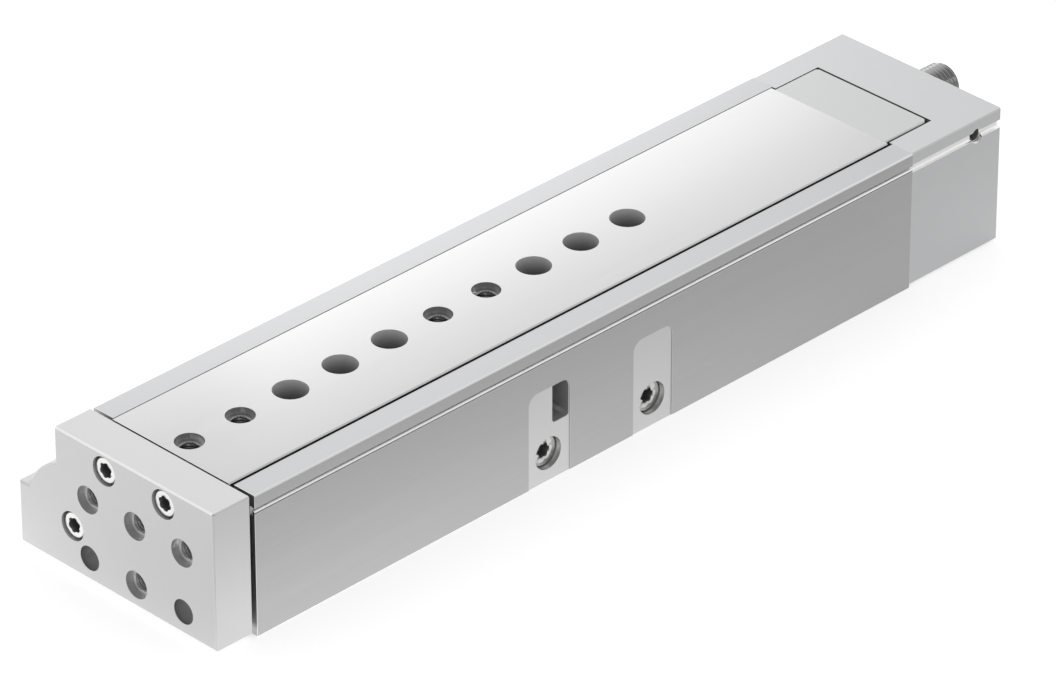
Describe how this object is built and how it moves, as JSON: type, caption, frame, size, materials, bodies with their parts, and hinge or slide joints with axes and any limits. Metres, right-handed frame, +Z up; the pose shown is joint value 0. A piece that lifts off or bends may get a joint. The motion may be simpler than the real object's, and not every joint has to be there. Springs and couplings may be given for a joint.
{
  "type": "pneumatic mini slide",
  "caption": "Flat pneumatic slide: a table on ball cages in a grooved housing, driven through a yoke plate by a side cylinder, with a rear shock absorber.",
  "frame": {"origin": "on the base face, in the middle of the row of base mounting holes", "axes": "+Z up out of the base; the table extends along -Y; +X towards the side with the sensor slot and the blanked ports"},
  "size_m": [0.0844, 0.3449, 0.0484],
  "materials": {
    "housing_aluminium": "clear anodised, brushed lengthwise",
    "cap_aluminium": "clear anodised, matt",
    "yoke_aluminium": "clear anodised, fine matt",
    "table_steel": "ground satin",
    "tongue_steel": "matt",
    "rail_steel": "hardened and ground",
    "rod_steel": "hard chromed, polished",
    "screw_steel": "bright zinc",
    "absorber_steel": "burnished",
    "ball_steel": "polished",
    "cage_brass": "satin",
    "plug_brass": "nickel plated",
    "piston_aluminium": "turned",
    "seal_rubber": "matt black",
    "buffer_rubber": "matt",
    "bearing_plastic": "matt",
    "magnet_ceramic": "sintered"
  },
  "bodies": {
    "housing": {"housing": "housing_aluminium", "rear_cap": "cap_aluminium", "rear_cap_screws": "screw_steel", "guide_rail_left": "rail_steel", "guide_rail_right": "rail_steel", "rod_gland": "piston_aluminium", "gland_seal": "seal_rubber", "rod_wiper": "seal_rubber", "rod_seal": "seal_rubber", "retaining_ring": "absorber_steel", "front_buffer": "buffer_rubber", "rear_buffer": "buffer_rubber", "end_plug": "piston_aluminium", "end_plug_seal": "seal_rubber", "port_plug_front": "plug_brass", "port_plug_rear": "plug_brass", "shock_absorber": "absorber_steel", "absorber_clamp_pad": "bearing_plastic", "absorber_clamp_screw": "absorber_steel"},
    "table": {"slide_table": "table_steel", "position_magnet": "magnet_ceramic", "stop_tongue": "tongue_steel", "tongue_screws": "screw_steel", "yoke_plate": "yoke_aluminium", "yoke_screws": "screw_steel", "rod_screw": "screw_steel", "piston_rod": "rod_steel", "piston": "piston_aluminium", "piston_seals": "seal_rubber", "piston_wear_ring": "bearing_plastic", "piston_magnet": "magnet_ceramic", "piston_nut": "screw_steel"},
    "cage_left": {"ball_cage_left": "cage_brass", "balls_left": "ball_steel"},
    "cage_right": {"ball_cage_right": "cage_brass", "balls_right": "ball_steel"},
    "damper": {"absorber_plunger": "rod_steel", "plunger_button": "bearing_plastic"}
  },
  "joints": [
    {"name": "table_travel", "type": "slide", "parent": "housing", "child": "table", "axis": [0, -1, 0], "range_m": [0, 0.2]},
    {"name": "cage_left_travel", "type": "slide", "parent": "housing", "child": "cage_left", "axis": [0, -1, 0], "range_m": [0, 0.1]},
    {"name": "cage_right_travel", "type": "slide", "parent": "housing", "child": "cage_right", "axis": [0, -1, 0], "range_m": [0, 0.1]},
    {"name": "damper_travel", "type": "slide", "parent": "housing", "child": "damper", "axis": [0, -1, 0], "range_m": [0, 0.012]}
  ],
  "couplings": [
    {"joint": "cage_left_travel", "follows": "table_travel", "ratio": 0.5},
    {"joint": "cage_right_travel", "follows": "table_travel", "ratio": 0.5},
    {"joint": "damper_travel", "follows": "table_travel", "ratio": 0.06}
  ]
}
